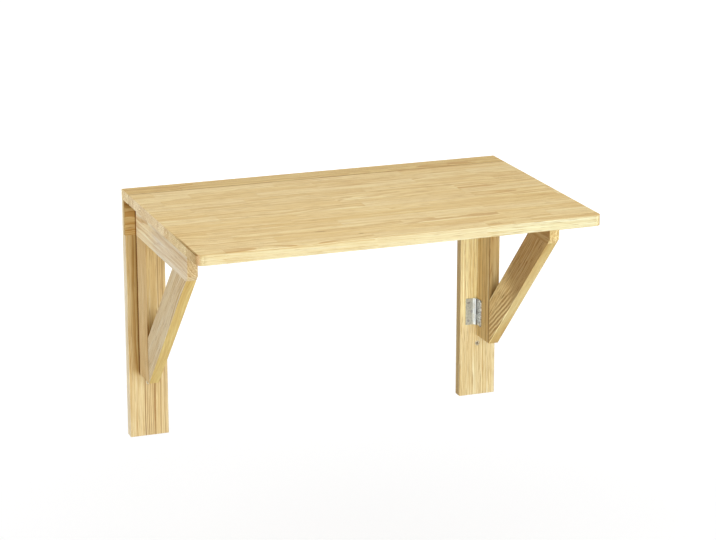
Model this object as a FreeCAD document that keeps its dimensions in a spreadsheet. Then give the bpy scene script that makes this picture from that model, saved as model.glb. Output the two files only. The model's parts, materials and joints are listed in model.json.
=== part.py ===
"""Wall mounted drop leaf table of pine boards on two folding brackets.

Frame: X runs along the wall, -Y points into the room, Z is up. The wall is the plane
Y = 0. The origin is the centre of the four wall screw holes. All sizes are millimetres.
"""
import FreeCAD, Part
import math
import os
import Sketcher

doc = FreeCAD.newDocument("WallDropLeafTable")

# --- driving sizes ------------------------------------------------------------------
SIZES = {
    # tabletop: a fixed strip at the wall and the leaf hinged to it
    "top_width": 700,
    "top_depth": 450,
    "top_thickness": 18,
    "strip_depth": 46,
    "seam_gap": 1,
    "seam_bevel": 3.5,
    "leaf_corner_radius": 13,
    "edge_ease": 0.8,
    # wall frame: two planks and a rail half-lapped over their tops
    "table_drop": 450,
    "plank_width": 70,
    "plank_thickness": 18,
    "plank_corner_radius": 1,
    "rail_height": 61.5,
    "lap_depth": 9,
    # wall screw holes, in a rectangle on the plank centre lines
    "wall_hole_rise": 300,
    "wall_hole_drop": 50,
    "wall_hole_radius": 2.5,
    "wall_sink_depth": 2.8,
    # folding bracket
    "bracket_inset": 19.5,
    "bracket_thickness": 18,
    "bracket_gap": 0.8,
    "leaf_clearance": 0.4,
    "arm_reach": 327,
    "arm_height": 62,
    "arm_nose": 52.6,
    "stile_depth": 58,
    "stile_height": 252.6,
    "brace_width": 58,
    # butt hinge, the same size at the brackets and under the seam
    "hinge_length": 50,
    "hinge_leaf_width": 19,
    "hinge_plate": 1.5,
    "knuckle_radius": 2.8,
    "knuckle_slit": 0.2,
    "knuckle_clearance": 0.3,
    "pin_radius": 1.4,
    "pin_clearance": 0.05,
    "lower_hinge_margin": 46,
    "hinge_hole_gap": 6.7,
    "leaf_hinge_inset": 100,
    "mortise_clearance": 0.3,
    "knuckle_recess": 0.1,
    # screws of the hinges
    "screw_radius": 1.5,
    "screw_head_radius": 2.7,
    "screw_fit": 0.05,
    "screw_length": 13,
    "leaf_screw_length": 10,
    "screw_row_near": 7.5,
    "screw_row_far": 14,
    "screw_end": 8,
    # dowels
    "dowel_radius": 4,
    "dowel_length": 30,
    "dowel_fit": 0.05,
    "strip_dowel_depth": 12,
    "strip_dowel_inset": 30,
    "stile_dowel_inset": 11,
    "stile_dowel_spacing": 18,
    "brace_dowel_depth": 12,
}
LEFT, RIGHT = -1, 1
NAMES = {LEFT: "left", RIGHT: "right"}

sheet = doc.addObject("Spreadsheet::Sheet", "Sizes")
for row, (name, value) in enumerate(SIZES.items(), 1):
    sheet.set(f"A{row}", name)
    sheet.set(f"B{row}", str(value))
    sheet.setAlias(f"B{row}", name)
doc.recompute()


class Size:
    """A number together with the sheet formula that it comes from."""

    def __init__(self, number, formula):
        self.number, self.formula = number, formula

    @staticmethod
    def of(value):
        return value if isinstance(value, Size) else Size(float(value), repr(float(value)))

    def join(self, other, sign, work):
        other = Size.of(other)
        return Size(work(self.number, other.number), f"({self.formula} {sign} {other.formula})")

    def __add__(self, other):
        return self.join(other, "+", lambda p, q: p + q)

    def __sub__(self, other):
        return self.join(other, "-", lambda p, q: p - q)

    def __mul__(self, other):
        return self.join(other, "*", lambda p, q: p * q)

    def __truediv__(self, other):
        return self.join(other, "/", lambda p, q: p / q)

    def __rmul__(self, other):
        return Size.of(other) * self

    def __neg__(self):
        return Size.of(-1) * self


def root(size):
    return Size(math.sqrt(size.number), f"sqrt({size.formula})")


class Table:
    """The sheet's sizes by name, as S.top_width."""

    def __getattr__(self, name):
        return Size(float(sheet.get(name)), f"Sizes.{name}")


S = Table()
ZERO = Size.of(0)

# --- places worked out from the sizes -------------------------------------------------
half_width = S.top_width / 2
top_z = S.wall_hole_rise / 2 + S.wall_hole_drop
under_z = top_z - S.top_thickness
plank_foot_z = top_z - S.table_drop
plank_height = S.table_drop - S.top_thickness
rail_foot_z = under_z - S.rail_height
wall_hole_x = half_width - S.plank_width / 2

seam_y = -1 * S.strip_depth
leaf_back_y = seam_y - S.seam_gap
leaf_front_y = -1 * S.top_depth

# bracket profile, seen from the side
inner_x = half_width - S.bracket_inset - S.bracket_thickness
back_y = -1 * (S.plank_thickness + S.bracket_gap)
stile_front_y = back_y - S.stile_depth
tip_y = -1 * S.arm_reach
arm_top_z = under_z - S.leaf_clearance
arm_foot_z = arm_top_z - S.arm_height
nose_z = arm_top_z - S.arm_nose
stile_foot_z = arm_foot_z - S.stile_height
brace_run = stile_front_y - tip_y
brace_rise = nose_z - stile_foot_z
brace_slope = brace_run / brace_rise
brace_end = S.brace_width * root(brace_run * brace_run + brace_rise * brace_rise) / brace_run
brace_low_y = stile_front_y - (arm_foot_z - stile_foot_z) * brace_slope
brace_high_z = stile_foot_z + brace_end
brace_high_y = stile_front_y - (arm_foot_z - brace_high_z) * brace_slope

# hinges: the pin lies this far from the wood that the plates are screwed to
pin_offset = S.knuckle_radius + S.knuckle_clearance
sunk_face = pin_offset - S.hinge_plate
bracket_pin_x = inner_x - pin_offset
bracket_pin_y = -1 * (S.plank_thickness + pin_offset)
wall_sink_radius = S.wall_hole_radius + S.wall_sink_depth
upper_hinge_z = (
    S.wall_hole_rise / 2 - wall_sink_radius - S.hinge_hole_gap - S.hinge_length / 2
)
lower_hinge_z = stile_foot_z + S.lower_hinge_margin
hinge_heights = {"upper": upper_hinge_z, "lower": lower_hinge_z}
leaf_pin_y = seam_y - S.seam_gap / 2
leaf_pin_z = under_z + S.knuckle_recess + S.knuckle_radius
mortise_depth = S.knuckle_recess + S.knuckle_radius + pin_offset
leaf_hinge_x = half_width - S.leaf_hinge_inset
leaf_hinge_xs = {"left": -1 * leaf_hinge_x, "middle": ZERO, "right": leaf_hinge_x}

# screw holes of one hinge plate: (distance from the pin, distance from the middle)
screw_reach = S.hinge_length / 2 - S.screw_end
hinge_screws = [
    (S.screw_row_near, ZERO),
    (S.screw_row_far, screw_reach),
    (S.screw_row_far, -1 * screw_reach),
]
pilot_radius = S.screw_radius + S.screw_fit
dowel_bore = S.dowel_radius + S.dowel_fit


# --- helpers --------------------------------------------------------------------------
def body(label):
    made = doc.addObject("PartDesign::Body", label)
    made.Label = label
    return made


def place(made, x=ZERO, y=ZERO, z=ZERO, axes=None):
    """Put a body at x, y, z; axes gives where its own X and Y point."""
    if axes:
        u, v = (FreeCAD.Vector(*a) for a in axes)
        w = u.cross(v)
        turn = FreeCAD.Matrix(u.x, v.x, w.x, 0, u.y, v.y, w.y, 0, u.z, v.z, w.z, 0, 0, 0, 0, 1)
        made.Placement = FreeCAD.Placement(turn)
    for axis, value in (("x", x), ("y", y), ("z", z)):
        made.setExpression(f".Placement.Base.{axis}", Size.of(value).formula)


def sketch(made, plane, raised=None):
    """An empty sketch on one of the body's own planes, raised along the plane's normal."""
    new = made.newObject("Sketcher::SketchObject", f"{made.Name}_sketch")
    role = next(f for f in made.Origin.OriginFeatures if f.Role == f"{plane}_Plane")
    new.AttachmentSupport = [(role, "")]
    new.MapMode = "FlatFace"
    if raised is not None:
        new.setExpression(".AttachmentOffset.Base.z", raised.formula)
    return new


def pin_down(sk, geo, end, x, y):
    """Dimension one sketch point from the origin along both axes."""
    for kind, on_axis, value in (("DistanceX", -2, Size.of(x)), ("DistanceY", -1, Size.of(y))):
        if value.number == 0:
            sk.addConstraint(Sketcher.Constraint("PointOnObject", geo, end, on_axis))
            continue
        ends = (-1, 1, geo, end) if value.number > 0 else (geo, end, -1, 1)
        n = sk.addConstraint(Sketcher.Constraint(kind, *ends, abs(value.number)))
        size = value if value.number > 0 else -value
        sk.setExpression(f"Constraints[{n}]", size.formula)


def polygon(sk, points):
    first = sk.GeometryCount
    points = [(Size.of(x), Size.of(y)) for x, y in points]
    vectors = [FreeCAD.Vector(x.number, y.number, 0) for x, y in points]
    count = len(points)
    for i in range(count):
        sk.addGeometry(Part.LineSegment(vectors[i], vectors[(i + 1) % count]))
    for i in range(count):
        joint = (first + i, 2, first + (i + 1) % count, 1)
        sk.addConstraint(Sketcher.Constraint("Coincident", *joint))
    for i, (x, y) in enumerate(points):
        pin_down(sk, first + i, 1, x, y)


def rectangle(sk, x0, x1, y0, y1):
    polygon(sk, [(x0, y0), (x1, y0), (x1, y1), (x0, y1)])


def circles(sk, centres, radius):
    for x, y in centres:
        x, y = Size.of(x), Size.of(y)
        centre = FreeCAD.Vector(x.number, y.number, 0)
        geo = sk.addGeometry(Part.Circle(centre, FreeCAD.Vector(0, 0, 1), radius.number))
        n = sk.addConstraint(Sketcher.Constraint("Radius", geo, radius.number))
        sk.setExpression(f"Constraints[{n}]", radius.formula)
        pin_down(sk, geo, 3, x, y)


def pad(made, sk, length, side="One side", back=False):
    new = made.newObject("PartDesign::Pad", f"{made.Name}_pad")
    new.Profile = sk
    new.setExpression("Length", length.formula)
    new.SideType = side
    new.Reversed = back
    return new


def pocket(made, sk, depth=None, up=False):
    """Cut to a depth below the sketch plane, or above it, or all the way both ways."""
    new = made.newObject("PartDesign::Pocket", f"{made.Name}_pocket")
    new.Profile = sk
    if depth is None:
        new.Type = "ThroughAll"
        new.SideType = "Symmetric"
    else:
        new.setExpression("Length", depth.formula)
        new.Reversed = up
    doc.recompute()
    return new


def edges_where(feature, test):
    """Names of the feature's edges whose middle point and edge pass the test."""
    names = []
    for i, edge in enumerate(feature.Shape.Edges, 1):
        middle = edge.valueAt((edge.FirstParameter + edge.LastParameter) / 2)
        if test(middle, edge):
            names.append(f"Edge{i}")
    return names


def dress(made, kind, test, size, amount):
    """Fillet or chamfer the tip's edges that pass the test."""
    doc.recompute()
    base = made.Tip
    new = made.newObject(f"PartDesign::{kind}", f"{made.Name}_{kind.lower()}")
    new.Base = (base, edges_where(base, test))
    new.setExpression(amount, size.formula)
    doc.recompute()
    return new


def fillet(made, test, size):
    return dress(made, "Fillet", test, size, "Radius")


def chamfer(made, test, size):
    return dress(made, "Chamfer", test, size, "Size")


def near(a, size, slack=0.01):
    return abs(a - Size.of(size).number) < slack


def straight(edge):
    return isinstance(edge.Curve, Part.Line)


def along(edge, axis):
    """True where a straight edge runs along X, Y or Z."""
    return straight(edge) and abs(getattr(edge.Curve.Direction, axis)) > 0.999


def mirrored(side, x, width):
    """A place across a plank, counted from its left edge on the right-hand side."""
    return x if side == RIGHT else width - x


# --- wall frame -----------------------------------------------------------------------
def plank_pilots(made, centres):
    """Screw holes in the front face, as deep as the screws of the brackets' hinges."""
    pilots = sketch(made, "XZ", S.plank_thickness)
    circles(pilots, centres, pilot_radius)
    pocket(made, pilots, S.screw_length - S.hinge_plate + S.screw_fit)


def wall_plank(side):
    """One upright plank: local X across from its left edge, Z up from its foot."""
    made = body(f"{NAMES[side]}_wall_plank")
    left_x = half_width - S.plank_width if side == RIGHT else -1 * half_width
    place(made, left_x, ZERO, plank_foot_z)
    front = sketch(made, "XZ")
    rectangle(front, ZERO, S.plank_width, ZERO, plank_height)
    pad(made, front, S.plank_thickness)
    rebate = sketch(made, "YZ")
    top, foot = plank_height, plank_height - S.rail_height
    rectangle(rebate, -1 * S.plank_thickness, S.lap_depth - S.plank_thickness, foot, top)
    pocket(made, rebate)
    fillet(
        made,
        lambda p, e: along(e, "y") and near(p.z, ZERO) and not near(p.y, ZERO),
        S.plank_corner_radius,
    )
    holes = sketch(made, "XZ")
    lower = ZERO - S.wall_hole_rise / 2 - plank_foot_z
    upper = S.wall_hole_rise / 2 - plank_foot_z
    circles(holes, [(S.plank_width / 2, lower), (S.plank_width / 2, upper)], S.wall_hole_radius)
    pocket(made, holes)
    chamfer(
        made,
        lambda p, e: not straight(e)
        and near(e.BoundBox.YMin, -S.plank_thickness)
        and near(e.BoundBox.YMax, -S.plank_thickness)
        and near(e.BoundBox.Center.z, lower),
        S.wall_sink_depth,
    )
    plank_pilots(
        made,
        [
            (
                mirrored(side, bracket_pin_x - u - (half_width - S.plank_width), S.plank_width),
                height + along_pin - plank_foot_z,
            )
            for height in hinge_heights.values()
            for u, along_pin in hinge_screws
        ],
    )
    fillet(
        made,
        lambda p, e: along(e, "z")
        and near(p.y, -S.plank_thickness)
        and e.Length > S.plank_width.number
        and (near(p.x, ZERO) or near(p.x, S.plank_width)),
        S.edge_ease,
    )
    return made


def wall_rail():
    """The rail across the top: full thickness between the planks, half over them."""
    made = body("wall_rail")
    place(made, ZERO, ZERO, rail_foot_z)
    front = sketch(made, "XZ")
    rectangle(front, -1 * half_width, half_width, ZERO, S.rail_height)
    pad(made, front, S.plank_thickness)
    laps = sketch(made, "XZ")
    lap_x = half_width - S.plank_width
    rectangle(laps, lap_x, half_width, ZERO, S.rail_height)
    rectangle(laps, -1 * half_width, -1 * lap_x, ZERO, S.rail_height)
    pocket(made, laps, S.plank_thickness - S.lap_depth, up=True)
    holes = sketch(made, "XZ")
    height = S.wall_hole_rise / 2 - rail_foot_z
    circles(holes, [(wall_hole_x, height), (-1 * wall_hole_x, height)], S.wall_hole_radius)
    pocket(made, holes)
    chamfer(
        made,
        lambda p, e: not straight(e)
        and near(e.BoundBox.YMin, -S.plank_thickness)
        and near(e.BoundBox.YMax, -S.plank_thickness),
        S.wall_sink_depth,
    )
    plank_pilots(
        made,
        [
            (side * (bracket_pin_x - u), upper_hinge_z + along_pin - rail_foot_z)
            for side in (LEFT, RIGHT)
            for u, along_pin in hinge_screws
        ],
    )
    bores = sketch(made, "XY", S.rail_height)
    circles(bores, [(x, -1 * S.plank_thickness / 2) for x in strip_dowel_xs], dowel_bore)
    pocket(made, bores, S.dowel_length - S.strip_dowel_depth + S.dowel_fit)
    return made


# dowels between rail and strip, evenly along the rail's stretch between the planks
outer_dowel_x = half_width - S.plank_width - S.strip_dowel_inset
strip_dowel_xs = [outer_dowel_x * n for n in (-1, -0.5, 0.5, 1)] + [ZERO]


# --- tabletop -------------------------------------------------------------------------
def hinge_mortises(made, edge_y, outward):
    """Sink the hinges under the seam; outward is 1 towards the wall, -1 into the room."""
    reach = leaf_pin_y + outward * (S.hinge_leaf_width + S.mortise_clearance)
    beds = sketch(made, "XY")
    for x in leaf_hinge_xs.values():
        half = S.hinge_length / 2 + S.mortise_clearance
        rectangle(beds, x - half, x + half, edge_y, reach)
    pocket(made, beds, mortise_depth, up=True)
    pilots = sketch(made, "XY", mortise_depth)
    circles(
        pilots,
        [
            (x + along_pin, leaf_pin_y + outward * u)
            for x in leaf_hinge_xs.values()
            for u, along_pin in hinge_screws
        ],
        pilot_radius,
    )
    pocket(made, pilots, S.leaf_screw_length - S.hinge_plate + S.screw_fit, up=True)


def fixed_strip():
    """The strip that stays on the wall, with a bevel under its seam edge."""
    made = body("fixed_strip")
    place(made, ZERO, ZERO, under_z)
    side = sketch(made, "YZ")
    polygon(
        side,
        [
            (ZERO, ZERO),
            (seam_y + S.seam_bevel, ZERO),
            (seam_y, S.seam_bevel),
            (seam_y, S.top_thickness),
            (ZERO, S.top_thickness),
        ],
    )
    pad(made, side, S.top_width, side="Symmetric")
    hinge_mortises(made, seam_y, 1)
    bores = sketch(made, "XY")
    circles(bores, [(x, -1 * S.plank_thickness / 2) for x in strip_dowel_xs], dowel_bore)
    pocket(made, bores, S.strip_dowel_depth + S.dowel_fit, up=True)
    fillet(
        made,
        lambda p, e: along(e, "y") and near(abs(p.x), half_width),
        S.edge_ease,
    )
    return made


def drop_leaf():
    """The hinged leaf, with rounded front corners and eased outer edges."""
    made = body("drop_leaf")
    place(made, ZERO, ZERO, under_z)
    side = sketch(made, "YZ")
    polygon(
        side,
        [
            (leaf_back_y, S.seam_bevel),
            (leaf_back_y - S.seam_bevel, ZERO),
            (leaf_front_y, ZERO),
            (leaf_front_y, S.top_thickness),
            (leaf_back_y, S.top_thickness),
        ],
    )
    pad(made, side, S.top_width, side="Symmetric")
    hinge_mortises(made, leaf_back_y, -1)
    fillet(
        made,
        lambda p, e: along(e, "z") and near(p.y, leaf_front_y),
        S.leaf_corner_radius,
    )
    fillet(
        made,
        lambda p, e: (near(p.z, ZERO) or near(p.z, S.top_thickness))
        and (near(abs(p.x), half_width) or near(p.y, leaf_front_y) or not straight(e))
        and p.y < (leaf_back_y - S.seam_bevel).number - 1
        and e.Length > 2 * S.knuckle_radius.number + 4,
        S.edge_ease,
    )
    return made


# --- brackets -------------------------------------------------------------------------
def bracket_board(side, name, profile):
    """A board of the bracket: a side profile as thick as the bracket."""
    made = body(f"{NAMES[side]}_bracket_{name}")
    x = inner_x if side == RIGHT else -1 * inner_x - S.bracket_thickness
    place(made, x, ZERO, ZERO)
    outline = sketch(made, "YZ")
    polygon(outline, profile)
    pad(made, outline, S.bracket_thickness)
    return made


def bracket_bores(made, plane, level, centres, depth, up):
    bores = sketch(made, plane, level)
    circles(bores, centres, dowel_bore)
    pocket(made, bores, depth + S.dowel_fit, up=up)


def bracket_pilots(made, side, heights):
    """Screw holes of the hinges at the given heights, in the face that they lie on."""
    pilots = sketch(made, "YZ", None if side == RIGHT else S.bracket_thickness)
    circles(
        pilots,
        [
            (bracket_pin_y - u, height + along_pin)
            for height in heights
            for u, along_pin in hinge_screws
        ],
        pilot_radius,
    )
    depth = S.screw_length - S.hinge_plate + S.screw_fit
    pocket(made, pilots, depth, up=side == RIGHT)


bracket_mid = S.bracket_thickness / 2
first_dowel_y = stile_front_y + S.stile_dowel_inset
stile_dowel_ys = [first_dowel_y, first_dowel_y + S.stile_dowel_spacing]
brace_top_dowel_y = (brace_low_y + brace_high_y) / 2
brace_side_dowel_z = stile_foot_z + brace_end / 2


def bracket_arm(side):
    """The level arm that carries the leaf, its front lower corner cut along the brace."""
    made = bracket_board(
        side,
        "arm",
        [
            (back_y, arm_foot_z),
            (brace_low_y, arm_foot_z),
            (tip_y, nose_z),
            (tip_y, arm_top_z),
            (back_y, arm_top_z),
        ],
    )
    centres = [(bracket_mid, y) for y in stile_dowel_ys + [brace_top_dowel_y]]
    depths = [S.dowel_length / 2, S.dowel_length / 2, S.dowel_length - S.brace_dowel_depth]
    for centre, depth in zip(centres, depths):
        bracket_bores(made, "XY", arm_foot_z, [centre], depth, up=True)
    bracket_pilots(made, side, [upper_hinge_z])
    fillet(
        made,
        lambda p, e: straight(e)
        and not along(e, "x")
        and (near(p.z, arm_top_z) or near(p.y, tip_y) or p.y < brace_low_y.number - 1),
        S.edge_ease,
    )
    return made


def bracket_stile(side):
    """The upright board that carries the hinges and stands behind the brace."""
    made = bracket_board(
        side,
        "stile",
        [
            (back_y, stile_foot_z),
            (stile_front_y, stile_foot_z),
            (stile_front_y, arm_foot_z),
            (back_y, arm_foot_z),
        ],
    )
    centres = [(bracket_mid, y) for y in stile_dowel_ys]
    bracket_bores(made, "XY", arm_foot_z, centres, S.dowel_length / 2, up=False)
    centres = [(bracket_mid, brace_side_dowel_z)]
    depth = S.dowel_length - S.brace_dowel_depth
    bracket_bores(made, "XZ", -stile_front_y, centres, depth, up=False)
    bracket_pilots(made, side, hinge_heights.values())
    fillet(
        made,
        lambda p, e: along(e, "z") and near(p.y, back_y) and e.Length > S.stile_depth.number,
        S.edge_ease,
    )
    return made


def bracket_brace(side):
    """The slanted board between the stile's foot and the arm's end."""
    made = bracket_board(
        side,
        "brace",
        [
            (stile_front_y, stile_foot_z),
            (brace_low_y, arm_foot_z),
            (brace_high_y, arm_foot_z),
            (stile_front_y, brace_high_z),
        ],
    )
    centres = [(bracket_mid, brace_top_dowel_y)]
    bracket_bores(made, "XY", arm_foot_z, centres, S.brace_dowel_depth, up=False)
    centres = [(bracket_mid, brace_side_dowel_z)]
    bracket_bores(made, "XZ", -stile_front_y, centres, S.brace_dowel_depth, up=True)
    fillet(
        made,
        lambda p, e: straight(e)
        and abs(e.Curve.Direction.y) > 0.3
        and abs(e.Curve.Direction.z) > 0.3,
        S.edge_ease,
    )
    return made


# --- hinges ---------------------------------------------------------------------------
def hinge_leaf(label, outer_knuckles, origin, axes):
    """One hinge leaf: local Z along the pin, X from the pin to the free edge, Y towards
    the wood. Of its five knuckle places the outer leaf takes the 1st, 3rd and 5th."""
    made = body(label)
    place(made, *origin, axes=axes)
    half = S.hinge_length / 2
    plate = sketch(made, "XY", -1 * half)
    rectangle(plate, ZERO, S.hinge_leaf_width, sunk_face, pin_offset)
    pad(made, plate, S.hinge_length)
    barrel = sketch(made, "XY", -1 * half)
    circles(barrel, [(ZERO, ZERO)], S.knuckle_radius)
    pad(made, barrel, S.hinge_length)
    step = S.hinge_length / 5
    clear = S.knuckle_radius + S.knuckle_clearance
    spans = sketch(made, "XZ")
    for n in (1, 3) if outer_knuckles else (0, 2, 4):
        low = -1 * half + step * n
        bottom = low if n == 0 else low - S.knuckle_slit / 2
        top = low + step if n == 4 else low + step + S.knuckle_slit / 2
        rectangle(spans, -1 * clear, clear, bottom, top)
    pocket(made, spans)
    bore = sketch(made, "XY")
    circles(bore, [(ZERO, ZERO)], S.pin_radius + S.pin_clearance)
    pocket(made, bore)
    holes = sketch(made, "XZ")
    circles(holes, hinge_screws, pilot_radius)
    pocket(made, holes)
    chamfer(
        made,
        lambda p, e: not straight(e)
        and near(e.BoundBox.YMin, sunk_face)
        and near(e.BoundBox.YMax, sunk_face),
        S.screw_head_radius - S.screw_radius,
    )
    fillet(
        made,
        lambda p, e: along(e, "y") and near(p.x, S.hinge_leaf_width),
        S.knuckle_slit * 5,
    )
    return made


def hinge_pin(label, origin, axes):
    """The pin as long as the barrel."""
    pin = doc.addObject("Part::Cylinder", label)
    pin.Label = label
    pin.setExpression("Radius", S.pin_radius.formula)
    pin.setExpression("Height", S.hinge_length.formula)
    u, v = (FreeCAD.Vector(*a) for a in axes)
    reach = u.cross(v) * -0.5
    base = [
        Size.of(o) + S.hinge_length * r for o, r in zip(origin, (reach.x, reach.y, reach.z))
    ]
    place(pin, *base, axes=axes)
    return pin


def wood_screw(length):
    """A countersunk screw, its head face at the origin, its point along +Y."""
    radius, head = S.screw_radius.number, S.screw_head_radius.number
    depth, reach = head - radius, length.number
    outline = [(0, 0), (head, 0), (radius, depth), (radius, reach - 2 * radius), (0, reach)]
    points = [FreeCAD.Vector(x, y, 0) for x, y in outline + outline[:1]]
    face = Part.Face(Part.makePolygon(points))
    return face.revolve(FreeCAD.Vector(), FreeCAD.Vector(0, 1, 0), 360)


def screw_set(label, leaves, length):
    """All the screws that hold the given hinge leaves, as one node of loose solids."""
    screw = wood_screw(length)
    shapes = []
    for leaf in leaves:
        for u, along_pin in hinge_screws:
            point = FreeCAD.Vector(u.number, sunk_face.number, along_pin.number)
            placed = screw.copy()
            placed.Placement = leaf.Placement * FreeCAD.Placement(point, FreeCAD.Rotation())
            shapes.append(placed)
    made = doc.addObject("Part::Feature", label)
    made.Label = label
    made.Shape = Part.makeCompound(shapes)
    return made


def dowel_set(label, ends):
    """Dowels given by the end they start from and the axis that they run along."""
    dowels = []
    for origin, axes in ends:
        peg = doc.addObject("Part::Cylinder", f"{label}_peg")
        peg.setExpression("Radius", S.dowel_radius.formula)
        peg.setExpression("Height", S.dowel_length.formula)
        place(peg, *origin, axes=axes)
        dowels.append(peg)
    made = doc.addObject("Part::Compound", label)
    made.Label = label
    made.Links = dowels
    return made


UP = ((1, 0, 0), (0, 1, 0))
TO_WALL = ((1, 0, 0), (0, 0, -1))
# where a hinge leaf's own X (to its free edge) and Y (to its wood) point
ON_PLANK = {RIGHT: ((-1, 0, 0), (0, 1, 0)), LEFT: ((1, 0, 0), (0, 1, 0))}
ON_STILE = {RIGHT: ((0, -1, 0), (1, 0, 0)), LEFT: ((0, -1, 0), (-1, 0, 0))}
ON_STRIP = ((0, 1, 0), (0, 0, 1))
ON_LEAF = ((0, -1, 0), (0, 0, 1))

# --- assembly -------------------------------------------------------------------------
parts = [wall_rail(), fixed_strip(), drop_leaf()]
strip_dowel_z = under_z + S.strip_dowel_depth - S.dowel_length
strip_dowel_y = -1 * S.plank_thickness / 2
parts.append(
    dowel_set("strip_dowels", [((x, strip_dowel_y, strip_dowel_z), UP) for x in strip_dowel_xs])
)

for side in (LEFT, RIGHT):
    parts += [wall_plank(side), bracket_arm(side), bracket_stile(side), bracket_brace(side)]
    mid_x = side * (inner_x + bracket_mid)
    pegs = [((mid_x, y, arm_foot_z - S.dowel_length / 2), UP) for y in stile_dowel_ys]
    pegs.append(((mid_x, brace_top_dowel_y, arm_foot_z - S.brace_dowel_depth), UP))
    pegs.append(((mid_x, stile_front_y - S.brace_dowel_depth, brace_side_dowel_z), TO_WALL))
    parts.append(dowel_set(f"{NAMES[side]}_bracket_dowels", pegs))

    on_plank, on_stile = [], []
    for level, height in hinge_heights.items():
        origin = (side * bracket_pin_x, bracket_pin_y, height)
        stem = f"{NAMES[side]}_{level}_hinge"
        on_plank.append(hinge_leaf(f"{stem}_plank_leaf", True, origin, ON_PLANK[side]))
        on_stile.append(hinge_leaf(f"{stem}_bracket_leaf", False, origin, ON_STILE[side]))
        parts.append(hinge_pin(f"{stem}_pin", origin, ON_PLANK[side]))
    doc.recompute()
    parts += on_plank + on_stile
    parts.append(screw_set(f"{NAMES[side]}_plank_hinge_screws", on_plank, S.screw_length))
    parts.append(screw_set(f"{NAMES[side]}_bracket_hinge_screws", on_stile, S.screw_length))

on_strip, on_leaf = [], []
for place_name, x in leaf_hinge_xs.items():
    origin = (x, leaf_pin_y, leaf_pin_z)
    stem = f"leaf_hinge_{place_name}"
    on_strip.append(hinge_leaf(f"{stem}_strip_leaf", True, origin, ON_STRIP))
    on_leaf.append(hinge_leaf(f"{stem}_moving_leaf", False, origin, ON_LEAF))
    parts.append(hinge_pin(f"{stem}_pin", origin, ON_STRIP))
doc.recompute()
parts += on_strip + on_leaf
parts.append(screw_set("strip_hinge_screws", on_strip, S.leaf_screw_length))
parts.append(screw_set("leaf_hinge_screws", on_leaf, S.leaf_screw_length))
doc.recompute()

# --- checks and export ----------------------------------------------------------------
for item in doc.Objects:
    if {"Invalid", "Error"} & set(item.State):
        raise RuntimeError(f"{item.Label} failed: {item.State}")
for part in parts:
    if part.Shape.isNull() or not part.Shape.isValid():
        raise RuntimeError(f"{part.Label} has no valid shape")

os.makedirs("parts", exist_ok=True)
for part in parts:
    part.Shape.exportStep(f"parts/{part.Label}.step")
print(len(parts), "parts written")
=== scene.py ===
"""Wall mounted drop leaf table: finishes, screws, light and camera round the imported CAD.

Metres, in the CAD's frame: the wall is y = 0, x runs along it and z is up. The finishes are
written in millimetres, the scale of grain.
"""
import json
import math
from collections import namedtuple

import bmesh
import bpy
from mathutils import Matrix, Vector

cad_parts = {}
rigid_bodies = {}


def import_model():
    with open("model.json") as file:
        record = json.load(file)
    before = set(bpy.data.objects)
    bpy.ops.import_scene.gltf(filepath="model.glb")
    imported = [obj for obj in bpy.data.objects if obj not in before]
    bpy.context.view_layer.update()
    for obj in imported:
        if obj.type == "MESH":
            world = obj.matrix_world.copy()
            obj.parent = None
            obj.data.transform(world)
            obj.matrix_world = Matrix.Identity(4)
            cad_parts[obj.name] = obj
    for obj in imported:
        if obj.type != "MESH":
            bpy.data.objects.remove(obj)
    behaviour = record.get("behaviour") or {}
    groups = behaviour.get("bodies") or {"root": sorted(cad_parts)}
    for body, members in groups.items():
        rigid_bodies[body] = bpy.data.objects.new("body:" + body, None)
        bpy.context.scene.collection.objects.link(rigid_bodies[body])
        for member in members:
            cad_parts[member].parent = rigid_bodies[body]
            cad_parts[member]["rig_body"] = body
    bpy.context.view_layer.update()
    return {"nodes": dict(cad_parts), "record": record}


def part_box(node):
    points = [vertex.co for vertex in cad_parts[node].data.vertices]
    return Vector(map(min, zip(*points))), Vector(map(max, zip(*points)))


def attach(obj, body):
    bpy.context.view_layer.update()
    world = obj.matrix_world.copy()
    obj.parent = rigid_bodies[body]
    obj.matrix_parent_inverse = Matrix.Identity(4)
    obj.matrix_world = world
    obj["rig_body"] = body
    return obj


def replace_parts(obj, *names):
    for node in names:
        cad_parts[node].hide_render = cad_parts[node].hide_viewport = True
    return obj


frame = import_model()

MM = 0.001
X, Y, Z = Vector((1, 0, 0)), Vector((0, 1, 0)), Vector((0, 0, 1))
NODES = frame["nodes"]
SIDES = (("left", -1), ("right", 1))
scene = bpy.context.scene


# ---------------------------------------------------------------- node trees


def paint(red, green, blue):
    """A colour written as 0-255 screen values, as the shader wants it."""
    def linear(part):
        part = part / 255
        return part / 12.92 if part <= 0.04045 else ((part + 0.055) / 1.055) ** 2.4
    return (linear(red), linear(green), linear(blue), 1.0)


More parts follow.
